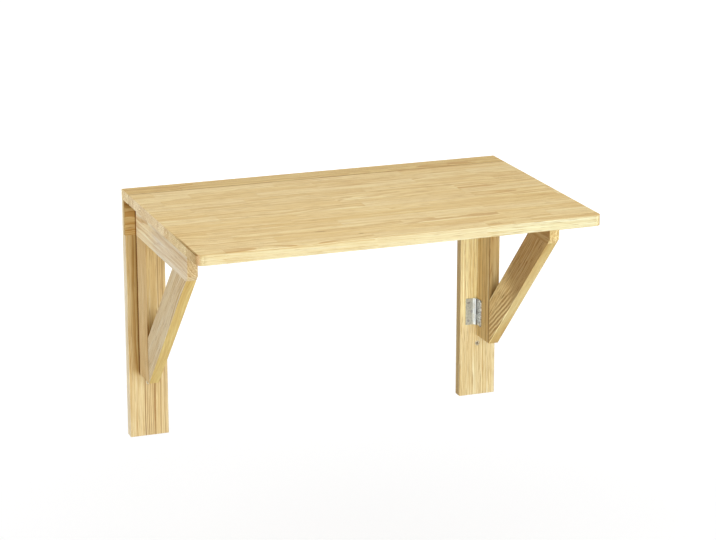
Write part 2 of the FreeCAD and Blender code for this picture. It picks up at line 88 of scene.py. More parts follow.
class Wire:
    """The outlet of a node, on which plain Python maths works."""

    def __init__(self, recipe, socket):
        self.recipe = recipe
        self.socket = socket

    def maths(self, operation, *terms):
        return self.recipe.node("ShaderNodeMath", {"operation": operation}, dict(enumerate(terms)))

    def __add__(self, other):
        return self.maths("ADD", self, other)

    def __radd__(self, other):
        return self.maths("ADD", other, self)

    def __sub__(self, other):
        return self.maths("SUBTRACT", self, other)

    def __rsub__(self, other):
        return self.maths("SUBTRACT", other, self)

    def __mul__(self, other):
        return self.maths("MULTIPLY", self, other)

    def __rmul__(self, other):
        return self.maths("MULTIPLY", other, self)

    def __truediv__(self, other):
        return self.maths("DIVIDE", self, other)

    def __neg__(self):
        return self.maths("MULTIPLY", self, -1.0)

    def __abs__(self):
        return self.maths("ABSOLUTE", self)

    def floor(self):
        return self.maths("FLOOR", self)

    def fraction(self):
        return self.maths("FRACT", self)

    def root(self):
        return self.maths("SQRT", self)

    def sign(self):
        return self.maths("SIGN", self)

    def greater(self, other):
        return self.maths("MAXIMUM", self, other)

    def zigzag(self, length):
        """Rises to length and falls back again, once in twice the length."""
        return self.maths("PINGPONG", self, length)

    def step(self, start, end):
        """0 before start, 1 after end and smooth between them; end may be the lower one."""
        settings = {"interpolation_type": "SMOOTHSTEP"}
        if start <= end:
            return self.recipe.node("MapRange", settings, {0: self, 1: start, 2: end})
        sockets = {0: self, 1: end, 2: start, 3: 1.0, 4: 0.0}
        return self.recipe.node("MapRange", settings, sockets)


class Recipe:
    """A node tree, written from the outlets of one node to the sockets of the next."""

    def __init__(self, tree):
        self.tree = tree
        tree.nodes.clear()

    def node(self, kind, settings=None, sockets=None, out=0):
        """Any node. A kind with no family in its name is a shader node."""
        made = self.tree.nodes.new(kind if "Node" in kind else "ShaderNode" + kind)
        for name, value in (settings or {}).items():
            setattr(made, name, value)
        for key, value in (sockets or {}).items():
            for part in value if isinstance(value, list) else [value]:
                if isinstance(part, Wire):
                    self.tree.links.new(part.socket, made.inputs[key])
                else:
                    made.inputs[key].default_value = part
        return Wire(self, made.outputs[out]) if made.outputs else made

    def outlets(self, wire):
        """All the outlets of a wire's node."""
        return [Wire(self, out) for out in wire.socket.node.outputs]

    def place(self):
        return self.node("TexCoord", out="Object")

    def facing(self):
        return self.node("TexCoord", out="Normal")

    def along(self, vector, axis):
        """How far a vector reaches along an axis."""
        return self.node("VectorMath", {"operation": "DOT_PRODUCT"}, {0: vector, 1: axis}, "Value")

    def vector(self, x, y, z):
        return self.node("CombineXYZ", None, {0: x, 1: y, 2: z})

    def parts(self, vector):
        return self.outlets(self.node("SeparateXYZ", None, {0: vector}))

    def noise(self, x, y, z, detail=2.0, rough=0.5):
        """Cloudy noise from 0 to 1, a cloud about one unit across."""
        sockets = {"Vector": self.vector(x, y, z), "Scale": 1.0, "Detail": detail, "Roughness": rough}
        return self.node("TexNoise", None, sockets)

    def drawn_out(self, place, along, across, detail=2.0, rough=0.5):
        """Noise drawn out along the grain, with so many clouds a unit along and across it."""
        u, v, w = place
        return self.noise(u * along, v * across, w * across, detail, rough)

    def wander(self, way):
        """Noise along one number."""
        sockets = {"W": way, "Scale": 1.0, "Detail": 1.0}
        return self.node("TexNoise", {"noise_dimensions": "1D"}, sockets)

    def lottery(self, x, y, z):
        """Three draws from 0 to 1 for each whole-numbered place."""
        colour = self.node("TexWhiteNoise", None, {"Vector": self.vector(x, y, z)}, "Color")
        return self.outlets(self.node("SeparateColor", None, {0: colour}))

    def mix(self, share, first, second, blend="MIX"):
        """A colour between two, by share."""
        settings = {"data_type": "RGBA", "blend_type": blend}
        return self.node("Mix", settings, {0: share, 6: first, 7: second}, 2)

    def bump(self, height, depth, strength):
        return self.node("Bump", None, {"Strength": strength, "Distance": depth, "Height": height})

    def finish(self, **sockets):
        """The surface itself, with its sockets named as Blender names them."""
        named = {name.replace("_", " "): value for name, value in sockets.items()}
        self.node("OutputMaterial", None, {"Surface": self.node("BsdfPrincipled", None, named)})


def new_finish(name):
    made = bpy.data.materials.new(name)
    made.use_nodes = True
    return made, Recipe(made.node_tree)


def dress(node, finish):
    for slot in NODES[node].material_slots:
        slot.material = finish


# ---------------------------------------------------------------- pine

STRAW = paint(235, 211, 160)
CREAM = paint(247, 232, 192)
HONEY = paint(222, 187, 124)
AMBER = paint(198, 155, 94)
RESIN = paint(158, 112, 62)
GLUE_BROWN = paint(172, 134, 84)
END_TAN = paint(206, 176, 130)
WHITE = (1.0, 1.0, 1.0, 1.0)
WOOD_GLOSS = 0.06
# bends of a log's heart in a millimetre
HEART_BENDS = 0.0045
# added to the count of years, so that it stays above 0
YEARS_AHEAD = 100.0
# how far one seed's log lies from the next, in millimetres
FAR_LOG = 613.0

# a soft-edged box on a board, in millimetres, inside which the colour is multiplied by tone
Patch = namedtuple("Patch", "middle reach soft tone")


def corners(node):
    """A node's lowest and highest corners, in millimetres."""
    return [Vector(round(part / MM, 3) for part in corner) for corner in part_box(node)]


def rings(recipe, place, gap, sway, seed):
    """(late wood from 0 to 1, year) at place, which is (along a log's heart, and two ways beside it).

    The heart sways as it goes. Late wood darkens through the year and ends at once."""
    u, v, w = place
    from_v = v + (recipe.wander(u * HEART_BENDS + seed) - 0.5) * sway
    from_w = w + (recipe.wander(u * HEART_BENDS + (seed + 37.0)) - 0.5) * (sway * 0.5)
    radius = (from_v * from_v + from_w * from_w).root()
    wobble = (recipe.drawn_out(place, 0.012, 0.05) - 0.5) * 3.4
    uneven = (recipe.wander(radius * 0.09 + seed) - 0.5) * 2.2
    years = (radius + wobble) / gap + uneven + YEARS_AHEAD
    part = years.fraction()
    return part.step(0.25, 0.92) * part.step(1.0, 0.94), years.floor()


def planed_pine(recipe, place, late, year, ends, seed, contrast):
    """(colour, height, fibres) of planed pine. ends is 1 where the grain is cut across."""
    strength = recipe.lottery(year, seed, 3.0)[0] * 0.7 + 0.3
    fading = recipe.drawn_out(place, 0.006, 0.02).step(0.25, 0.7) * 0.7 + 0.3
    clouds = recipe.drawn_out(place, 0.003, 0.03)
    streaks = recipe.drawn_out(place, 0.006, 0.22, detail=3.0, rough=0.6)
    fibres = recipe.drawn_out(place, 0.02, 1.1, detail=4.0, rough=0.6)
    hairs = recipe.drawn_out(place, 0.08, 5.0)
    dashes = recipe.drawn_out(place, 0.03, 1.3, detail=1.0).step(0.6, 0.72)
    pores = recipe.drawn_out(place, 0.02, 0.55, detail=3.0, rough=0.65)
    band = late * strength * fading
    colour = recipe.mix(clouds.step(0.35, 0.7) * 0.5, STRAW, HONEY)
    colour = recipe.mix(streaks.step(0.5, 0.28) * 0.6, colour, CREAM)
    colour = recipe.mix(streaks.step(0.5, 0.75) * (0.45 * contrast), colour, AMBER)
    colour = recipe.mix(band * (0.95 * contrast), colour, AMBER)
    colour = recipe.mix(fibres.step(0.45, 0.8) * (0.45 * contrast), colour, AMBER)
    colour = recipe.mix(dashes * (0.5 * contrast), colour, RESIN)
    colour = recipe.mix(ends * 0.45, colour, END_TAN)
    colour = recipe.mix(ends * pores.step(0.5, 0.68) * 0.5, colour, RESIN)
    colour = recipe.mix(ends * pores.step(0.46, 0.34) * 0.5, colour, CREAM)
    colour = recipe.mix(ends * late * 0.35, colour, RESIN)
    height = band * 0.6 + fibres * 0.5 + hairs * 0.35 - dashes * 0.3
    return colour, height, fibres


def end_grain(recipe, grain_way):
    """1 on faces that cut across the grain."""
    return abs(recipe.along(recipe.facing(), grain_way)).step(0.55, 0.85)


def faces_way(recipe, way):
    """1 on faces that look along a way. A slanted way takes in less on either side."""
    slanted = max(abs(part) for part in way) < 0.72
    start, end = (0.86, 0.97) if slanted else (0.45, 0.8)
    return recipe.along(recipe.facing(), way).step(start, end)


def toned(recipe, colour, tone, faces):
    """A colour in its board's tone, or in their own on the faces that look along a way in faces. The
    faces' own tones are painted light and shade, one side of the board lit or shaded more than
    another.
    """
    shade = (*tone, 1.0)
    for way, face_tone, *_ in faces:
        shade = recipe.mix(faces_way(recipe, way), shade, (*face_tone, 1.0))
    return recipe.mix(1.0, colour, shade, "MULTIPLY")


def shade_light_and_marks(recipe, colour, patches):
    """A colour with its patches, in millimetres. Most patches are painted shade or painted light; the
    rest are marks of the wood.
    """
    for patch in patches:
        share = 1.0
        parts = recipe.parts(recipe.place())
        for part, middle, reach, soft in zip(parts, patch.middle, patch.reach, patch.soft):
            share = abs(part / MM - middle).step(reach + soft, reach) * share
        colour = recipe.mix(share, colour, (*patch.tone, 1.0), "MULTIPLY")
    return colour


def slanted_lines(recipe, colour, face_way, u, v, slants, seed):
    """Dark lines across the grain in a part of a board: (slope, gap, middle, reach) each."""
    for slope, gap, middle, reach in slants:
        run = (v + u * slope + recipe.noise(u * 0.03, v * 0.03, seed) * 4.0) / gap
        window = abs(recipe.along(recipe.facing(), face_way)).step(0.6, 0.8)
        window = abs(u - middle[0]).step(reach[0], reach[0] * 0.3) * window
        window = abs(v - middle[1]).step(reach[1], reach[1] * 0.4) * window
        colour = recipe.mix(window * run.zigzag(0.5).step(0.2, 0.42) * 0.75, colour, RESIN)
        colour = recipe.mix(window * run.zigzag(0.5).step(0.16, 0.02) * 0.7, colour, CREAM)
    return colour


def resin_lines(recipe, colour, u, v, lines, seed):
    """Single lines along a board: (place across, width, strength) each."""
    drift = (recipe.wander(u * 0.005 + seed) - 0.5) * 3.0
    for place_across, width, strength in lines:
        kept = recipe.noise(u * 0.02, place_across, seed).step(0.15, 0.45)
        line = abs(v + drift - place_across).step(width, width * 0.2)
        colour = recipe.mix(line * kept * strength, colour, RESIN)
    return colour


def wood_surface(recipe, colour, fibres, late, ends, height, late_gloss, depth):
    """Bare wood: rougher along fibres and on ends, smoother by late_gloss on late wood, and depth
    millimetres deep in its relief."""
    roughness = 0.55 + fibres * 0.2 - late * late_gloss + ends * 0.1
    recipe.finish(Base_Color=colour, Roughness=roughness, Specular_IOR_Level=WOOD_GLOSS,
                  Normal=recipe.bump(height, depth * MM, 0.6))


def dress_board(node, name, grain_way, face_way, heart, tone, seed, gap=3.2, sway=20.0, grain=1.0,
                contrast=1.0, lines=(), slants=(), patches=(), faces=()):
    """One solid board, with its log's heart beside its centre line.

    gap is from one ring to the next, and sway how far the heart sways, in millimetres. grain is how
    close the fibres lie. A face in faces is (way, tone) or (way, tone, share of the contrast); its
    tone paints light or shade on the faces that look that way."""
    made, recipe = new_finish(name)
    across_way = grain_way.cross(face_way)
    place = recipe.place()
    low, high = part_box(node)
    centre = (low + high) / 2
    ways = (grain_way, across_way, face_way)
    u, v, w = ((recipe.along(place, way) - centre.dot(way)) / MM for way in ways)
    ends = end_grain(recipe, grain_way)
    late, year = rings(recipe, (u, v - heart[0], w - heart[1]), gap, sway, seed)
    for way, _, *calm in faces:
        if calm:
            contrast = (1.0 - faces_way(recipe, way) * (1.0 - calm[0])) * contrast
    in_log = (u + seed * FAR_LOG, v * grain, w * grain)
    colour, height, fibres = planed_pine(recipe, in_log, late, year, ends, seed, contrast)
    colour = slanted_lines(recipe, colour, face_way, u, v, slants, seed)
    colour = resin_lines(recipe, colour, u, v, lines, seed)
    colour = shade_light_and_marks(recipe, toned(recipe, colour, tone, faces), patches)
    wood_surface(recipe, colour, fibres, late, ends, height, late_gloss=0.06, depth=0.12)
    dress(node, made)


def dress_panel(node, name, stave, first, length, tone, faces, patches, seed):
    """An edge-glued panel of finger-jointed staves that run along x, the first at y = first.

    Each block of a stave comes from a place of its own in a log."""
    made, recipe = new_finish(name)
    x, y, z = (part / MM for part in recipe.parts(recipe.place()))
    across = (y - first) / stave
    row = across.floor()
    in_row = across - row
    start = recipe.lottery(row, seed, 1.0)[0]
    stretch = recipe.wander(x * 0.004 + row * 7.3) * 120.0
    fingers = (z + 0.5).zigzag(2.0) * 5.0
    run = (x + stretch + fingers) / length + start * 7.0 + 20.0
    block = run.floor()
    in_block = run - block
    draws = recipe.lottery(block, row, seed)
    more = recipe.lottery(block, row, seed + 11.0)
    u = x * (draws[2] - 0.5).sign() + draws[2] * 900.0
    v = (in_row - 0.5) * stave + (draws[0] - 0.5) * 90.0 + x * (more[0] - 0.5) * 0.03
    w = z - 180.0 + draws[1] * 46.0
    late, year = rings(recipe, (u, v, w), gap=3.0, sway=20.0, seed=seed)
    ends = end_grain(recipe, X)
    in_log = (u, y + draws[0] * 9.0, z)
    colour, height, fibres = planed_pine(recipe, in_log, late, year, ends, seed, contrast=1.8)
    blotches = recipe.noise(x * 0.05, y * 0.13, z * 0.16, detail=3.0, rough=0.7)
    colour = recipe.mix(ends * (more[0] * 0.12 + blotches.step(0.52, 0.7) * 0.4), colour, RESIN)
    colour = recipe.mix(ends * (draws[1] * 0.2 + blotches.step(0.45, 0.3) * 0.4), colour, CREAM)
    flat = 1.0 - ends * 0.7
    colour = recipe.mix(more[1].step(0.3, 1.0) * flat * 0.22, colour, HONEY)
    colour = recipe.mix(more[2].step(0.5, 1.0) * flat * 0.18, colour, CREAM)
    flecks = recipe.drawn_out(in_log, 0.035, 0.16, detail=3.0, rough=0.7).step(0.66, 0.78)
    colour = recipe.mix(flecks * (1.0 - ends) * 0.5, colour, RESIN)
    from_glue = (0.5 - abs(in_row - 0.5)) * stave
    from_joint = (0.5 - abs(in_block - 0.5)) * length
    glue = from_glue.step(0.35, 0.1).greater(from_joint.step(0.4, 0.12))
    colour = toned(recipe, recipe.mix(glue * 0.3, colour, GLUE_BROWN), tone, faces)
    colour = shade_light_and_marks(recipe, colour, patches)
    height = height - glue * 0.6
    wood_surface(recipe, colour, fibres, late, ends, height, late_gloss=0.05, depth=0.1)
    dress(node, made)


# ---------------------------------------------------------------- boards of the table

# face tones: painted shade on faces that look back and to the right
BACK = (Y, (1.0, 0.97, 0.9))
OUTER_RIGHT = (X, (0.95, 0.96, 0.92))
PITCH = (0.6, 0.51, 0.36)


def dress_top():
    """The leaf and the strip behind it. Painted shade lies in the seam between them, on the rounded
    front corners and along the left end's top arris; painted light lies on the front edge, its right
    end and the left ends. Two pitch pockets mark the leaf.
    """
    low, high = corners("drop_leaf")
    strip_low, _ = corners("fixed_strip")
    middle = (low.z + high.z) / 2
    # painted shade in the seam between the leaf and the strip
    seam_shade = Patch((0.0, (high.y + strip_low.y) / 2, high.z),
                 (high.x + 1.0, 1.0, 3.0), (1.0, 1.2, 1.0), (0.66, 0.56, 0.44))
    near_end = Patch((low.x, low.y + 50.0, middle),
                     (1.0, 60.0, 12.0), (1.5, 110.0, 3.0), (0.88, 0.86, 0.76))
    # painted shade on the rounded front corners, where they turn away from the light
    corner = Patch((low.x - 2.0, low.y, middle - 0.5),
                   (5.0, 14.0, 9.0), (16.0, 34.0, 0.8), (0.76, 0.69, 0.59))
    corner_turn = Patch((low.x + 1.0, low.y, middle - 0.5),
                        (3.0, 6.0, 9.0), (6.0, 8.0, 0.8), (0.84, 0.78, 0.76))
    far_corner = Patch((high.x + 2.0, low.y, middle - 0.5),
                       (4.0, 10.0, 9.0), (16.0, 16.0, 0.8), (0.93, 0.85, 0.72))
    # painted light on the right end of the front edge
    far_front_light = Patch((high.x - 50.0, low.y, middle),
                      (60.0, 0.6, 8.0), (130.0, 1.0, 1.2), (1.08, 1.2, 1.37))
    # painted shade along the top arris of the leaf's left end
    end_arris = Patch((low.x, low.y, high.z - 0.6),
                      (2.0, 70.0, 1.0), (1.4, 80.0, 1.4), (0.6, 0.5, 0.36))
    long_pocket = Patch((-122.0, low.y + 67.0, high.z), (4.0, 0.8, 3.0), (8.0, 2.2, 1.0), PITCH)
    short_pocket = Patch((-64.0, low.y + 34.0, high.z), (2.0, 0.8, 3.0), (4.0, 2.0, 1.0), PITCH)
    # the front edge and left end tones are painted light and sheen
    dress_panel("drop_leaf", "jointed pine leaf", stave=31.0, first=low.y, length=230.0,
                tone=(0.955, 0.985, 0.935), seed=5.0,
                faces=((-Y, (1.0, 1.19, 1.38)), (-X, (1.32, 1.44, 1.66))),
                patches=(near_end, corner, corner_turn, far_corner, far_front_light, end_arris, seam_shade,
                         long_pocket, short_pocket))
    # the strip's left end tone is painted light and sheen
    dress_panel("fixed_strip", "jointed pine strip", stave=23.0, first=strip_low.y, length=250.0,
                tone=(0.84, 0.82, 0.66), seed=8.0, faces=((-X, (1.4, 1.56, 1.76)),), patches=(seam_shade,))


def dress_wall_frame():
    """The rail and the planks, with painted shade below the strip, along the left bracket's stile and
    on the plank beside it. The right plank has painted light halfway up."""
    low, high = corners("wall_rail")
    right_plank_low, _ = corners("right_wall_plank")
    stile_low, _ = corners("left_bracket_stile")
    # painted shade: a dark line where the left stile stands against the rail and plank
    stile_contact_shade = Patch((stile_low.x - 0.4, low.y, 24.0),
                        (0.6, 3.0, 154.0), (1.8, 1.0, 8.0), (0.46, 0.34, 0.23))
    # painted shade on the left plank beside and behind the stile
    shade_behind_stile = Patch((stile_low.x + 4.5, low.y, 6.0),
                         (6.0, 3.0, 128.0), (26.0, 1.0, 18.0), (0.7, 0.61, 0.45))
    # painted shade on the rail under the strip
    shade_under_strip = Patch((low.x + 5.0, low.y, high.z + 4.0),
                        (24.0, 3.0, 12.0), (30.0, 1.0, 13.0), (0.66, 0.57, 0.44))
    rail_end = Patch((low.x + 4.0, low.y, high.z - 32.0),
                     (13.0, 1.0, 40.0), (5.0, 1.0, 1.0), (0.92, 0.89, 0.8))
    # painted light halfway up the right plank, below the leaf
    painted_light_middle = Patch((right_plank_low.x + 20.0, low.y, 60.0),
                        (40.0, 3.0, 130.0), (30.0, 1.0, 60.0), (1.14, 1.18, 1.13))
    dress_board("wall_rail", "pine rail", X, Y, heart=(10.0, 42.0), tone=(0.86, 0.84, 0.76),
                seed=2.0, contrast=1.5, patches=(stile_contact_shade, shade_under_strip, rail_end),
                faces=((-X, (1.0, 0.98, 0.79)),))
    # the left plank's left side tone is painted light and sheen
    dress_board("left_wall_plank", "pine left plank", Z, Y, heart=(80.0, 26.0),
                tone=(0.9, 0.965, 1.03), seed=2.0, gap=3.4, sway=10.0, contrast=1.15,
                lines=((7.0, 1.6, 0.9), (3.5, 1.0, 0.65), (0.4, 1.1, 0.85), (-3.0, 1.0, 0.7),
                       (-7.0, 1.1, 0.65), (-10.5, 2.6, 0.85), (-21.0, 1.8, 0.5), (-29.0, 1.6, 0.45)),
                patches=(shade_behind_stile, stile_contact_shade), faces=((-X, (1.17, 1.33, 1.8), 0.5), BACK))
    # the right plank's left side tone is painted shade
    dress_board("right_wall_plank", "pine right plank", Z, Y, heart=(-80.0, 26.0),
                tone=(1.0, 1.14, 1.3), seed=4.0, gap=3.4, sway=10.0, contrast=1.8,
                patches=(painted_light_middle,), faces=((-X, (0.81, 0.81, 0.78), 0.6), BACK))


def dress_arms():
    """The brackets' level boards: the left one paler near the wall, the right one with painted shade
    on top, under the leaf.
    """
    left_low, _ = corners("left_bracket_arm")
    right_low, _ = corners("right_bracket_arm")
    near_wall = Patch((left_low.x, -50.0, 150.0),
                      (1.5, 35.0, 40.0), (2.0, 70.0, 4.0), (1.14, 1.14, 1.04))
    # painted shade on the right arm's top, under the leaf
    shade_under_leaf = Patch((right_low.x, -230.0, 184.0),
                       (4.0, 140.0, 14.0), (2.0, 60.0, 44.0), (0.7, 0.68, 0.56))
    # its cool tone is partly the wood's and partly painted sheen on its outer face; its front end's
    # tone is painted shade
    dress_board("left_bracket_arm", "pine left arm", Y, X, heart=(-14.0, 30.0),
                tone=(1.02, 1.12, 1.5), seed=8.0, grain=0.6, contrast=0.9, patches=(near_wall,),
                faces=((-Y, (0.83, 0.88, 0.92)),))
    # its dark tone is painted shade under the leaf, and its front end's tone is painted light
    dress_board("right_bracket_arm", "pine right arm", Y, X, heart=(14.0, 30.0),
                tone=(0.66, 0.62, 0.54), seed=10.0, grain=0.6, contrast=1.4, patches=(shade_under_leaf,),
                faces=((-Y, (1.12, 1.24, 1.18)), OUTER_RIGHT))


def dress_stiles():
    """The brackets' upright boards, with painted shade on their front faces where the braces come in.
    """
    left_low, _ = corners("left_bracket_stile")
    right_low, right_high = corners("right_bracket_stile")
    # painted shade on the stiles' front faces above the braces
    shade_above_brace = Patch((left_low.x + 8.5, left_low.y, -62.0),
                        (9.0, 3.0, 14.0), (6.0, 2.0, 60.0), (0.55, 0.44, 0.3))
    shade_beside_brace = Patch((right_high.x - 4.0, right_low.y, -62.0),
                         (8.0, 3.0, 10.0), (10.0, 2.0, 56.0), (0.46, 0.38, 0.26))
    # the front faces' tones are painted shade under the leaf
    dress_board("left_bracket_stile", "pine left stile", Z, X, heart=(-50.0, 30.0),
                tone=(0.98, 0.97, 0.98), seed=11.0, sway=8.0, grain=0.5, contrast=1.2,
                patches=(shade_above_brace,), faces=((-Y, (0.86, 0.88, 0.86)),))
    dress_board("right_bracket_stile", "pine right stile", Z, X, heart=(50.0, 30.0),
                tone=(1.02, 1.05, 0.98), seed=13.0, sway=8.0, grain=0.5, contrast=1.5,
                lines=((-26.0, 3.0, 1.0), (-12.0, 3.0, 0.45), (4.0, 2.6, 0.4), (18.0, 3.0, 0.45)),
                patches=(shade_beside_brace,), faces=((-Y, (0.78, 0.74, 0.62)), OUTER_RIGHT))


def dress_braces():
    """The brackets' slanted boards: the right one's foot is paler by painted light, with dark lines
    across it.
    """
    brace_low, brace_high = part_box("left_bracket_brace")
    up = Vector((0.0, brace_low.y - brace_high.y, brace_high.z - brace_low.z)).normalized()
    out = X.cross(up)
    low, _ = corners("right_bracket_brace")
    # painted light on the right brace's foot, below the leaf's shade
    foot = Patch((low.x, -105.0, -70.0), (0.4, 45.0, 55.0), (0.8, 50.0, 50.0), (1.68, 1.86, 2.0))
    front_foot = Patch((low.x + 10.5, -90.0, -110.0),
                       (9.5, 20.0, 20.0), (1.0, 90.0, 90.0), (0.9, 0.84, 0.74))
    front_top = Patch((low.x + 10.5, -320.0, 125.0),
                      (9.5, 15.0, 15.0), (1.0, 60.0, 60.0), (0.9, 0.87, 0.78))
    # the lower front face's tone is painted shade
    dress_board("left_bracket_brace", "pine left brace", up, X, heart=(-20.0, 24.0),
                tone=(0.93, 1.0, 1.22), seed=14.0, grain=0.6, contrast=1.1,
                faces=((out, (0.76, 0.74, 0.53), 0.5),))
    # its dark tone is painted shade under the leaf
    dress_board("right_bracket_brace", "pine right brace", up, X, heart=(60.0, 10.0),
                tone=(0.67, 0.62, 0.53), seed=16.0, gap=3.0, sway=12.0, grain=0.45, contrast=1.8,
                slants=((0.14, 7.5, (-95.0, 4.0), (110.0, 40.0)),),
                patches=(foot, front_foot, front_top),
                faces=((out, (0.79, 0.79, 0.66), 0.3), OUTER_RIGHT))


def dress_dowels():
    for node in ("strip_dowels", "left_bracket_dowels", "right_bracket_dowels"):
        dress_board(node, "beech " + node, Z, Y, heart=(2.0, 20.0), tone=(0.96, 0.86, 0.78),
                    seed=9.0, gap=1.6)


# ---------------------------------------------------------------- metal

# a painted highlight on hinge barrels
ZINC_HIGHLIGHT = paint(250, 254, 252)
DULL_ZINC = paint(104, 110, 112)
# painted shade in hinge creases
CREASE_SHADE_GREY = paint(58, 62, 60)
# painted shade in screw recesses
RECESS_SHADE_BROWN = paint(70, 58, 42)


def around_barrel(recipe, colour, x, y, pin, radius):
    """Paints a highlight on a hinge leaf towards its barrel, and paints shade in the crease between
    the two leaves.
    """
    low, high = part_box(pin)
    axis = (low + high) / 2 / MM
    from_x, from_y = x - axis.x, y - axis.y
    away = (from_x * from_x + from_y * from_y).root()
    colour = recipe.mix(away.step(radius + 4.5, radius) * 0.9, colour, ZINC_HIGHLIGHT)
    front = recipe.along(recipe.facing(), -Y).step(0.8, 0.97)
    crease = front * away.step(radius + 0.3, radius + 0.1)
    return recipe.mix(crease * 0.85, colour, CREASE_SHADE_GREY)


def zinc_finish(name, colour, roughness, spangle, frost=0.35, metal=1.0, pin=None, barrel=0.0,
                shade_behind=0.0):
    """Zinc plating: cloudy crystals of about spangle millimetres, and a fine grit.

    frost is the dark share of the crystals, and metal how much of the plating shines as metal. pin and
    barrel are a hinge's upright pin and the radius of its barrel, round which a highlight on the
    barrel and shade in the crease are painted. The last argument is the y behind which painted shade
    fills a recess. All lengths are in millimetres."""
    made, recipe = new_finish(name)
    x, y, z = (part / MM for part in recipe.parts(recipe.place()))
    cell = recipe.vector(x / spangle, y / spangle, z / spangle)
    crystal = recipe.node("TexVoronoi", None, {"Vector": cell, "Scale": 1.0}, "Color")
    shade = recipe.outlets(recipe.node("SeparateColor", None, {0: crystal}))[0]
    clouds = recipe.noise(x * 0.15, y * 0.15, z * 0.15, detail=3.0)
    grit = recipe.noise(x * 3.0, y * 3.0, z * 3.0)
    dull = shade.step(0.25, 0.8) * frost + clouds.step(0.4, 0.7) * 0.25
    colour = recipe.mix(dull, colour, DULL_ZINC)
    if pin:
        colour = around_barrel(recipe, colour, x, y, pin, barrel)
    if shade_behind:
        colour = recipe.mix(y.step(shade_behind + 0.3, shade_behind + 1.0) * 0.65, colour, RECESS_SHADE_BROWN)
    recipe.finish(Base_Color=colour, Metallic=metal, Roughness=roughness + shade * 0.12 + grit * 0.08,
                  Normal=recipe.bump(grit + shade * 0.5, 0.02 * MM, 0.5))
    return made


def dress_metal():
    """The hinges. Each bracket hinge has a brushed leaf on the plank and a spangled one on the
    bracket."""
    plate = zinc_finish("zinc plated hinge", paint(206, 208, 206), roughness=0.3, spangle=2.2)
    steel = zinc_finish("steel pin", paint(186, 188, 190), roughness=0.26, spangle=1.0)
    for node in NODES:
        if node.endswith("_pin"):
            dress(node, steel)
        elif node.startswith("leaf_hinge_") and node.endswith("_leaf"):
            dress(node, plate)
    for side, _ in SIDES:
        for level in ("upper", "lower"):
            hinge = side + "_" + level + "_hinge"
            pin = hinge + "_pin"
            low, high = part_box(pin)
            barrel = ((low.y + high.y) / 2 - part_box(hinge + "_plank_leaf")[0].y) / MM
            # both leaves get a painted highlight by the barrel and painted shade in the crease
            dress(hinge + "_plank_leaf", zinc_finish(
                "brushed " + hinge + " plank leaf", paint(202, 205, 194), roughness=0.32,
                spangle=3.0, frost=0.2, pin=pin, barrel=barrel))
            dress(hinge + "_bracket_leaf", zinc_finish(
                "spangled " + hinge + " bracket leaf", paint(252, 254, 252), roughness=0.28,
                spangle=1.5, frost=0.8, metal=0.5, pin=pin, barrel=barrel))


# ---------------------------------------------------------------- screws

SAME_POINT = 1e-6
WALL_HEAD_RIM = 2.2 * MM
WALL_HEAD_HEIGHT = 2.1 * MM
WALL_SCREW_SINK = 0.5 * MM
WALL_SCREW_SHORT = 1.0 * MM
WALL_SCREW_PITCH = 2.0 * MM
# a shank's share of its hole's radius
SHANK_IN_HOLE = 0.92


def loose_boxes(node):
    """(lowest corner, highest corner) of each separate solid of a CAD node."""
    work = bmesh.new()
    work.from_mesh(NODES[node].data)
    bmesh.ops.remove_doubles(work, verts=work.verts, dist=SAME_POINT)
    seen, boxes = set(), []
    for first in work.verts:
        if first in seen:
            continue
        seen.add(first)
        waiting, points = [first], []
        while waiting:
            vertex = waiting.pop()
            points.append(vertex.co.copy())
            around = [edge.other_vert(vertex) for edge in vertex.link_edges]
            fresh = [other for other in around if other not in seen]
            seen.update(fresh)
            waiting.extend(fresh)
        boxes.append([Vector([pick(point[axis] for point in points) for axis in range(3)])
                      for pick in (min, max)])
    work.free()
    return boxes


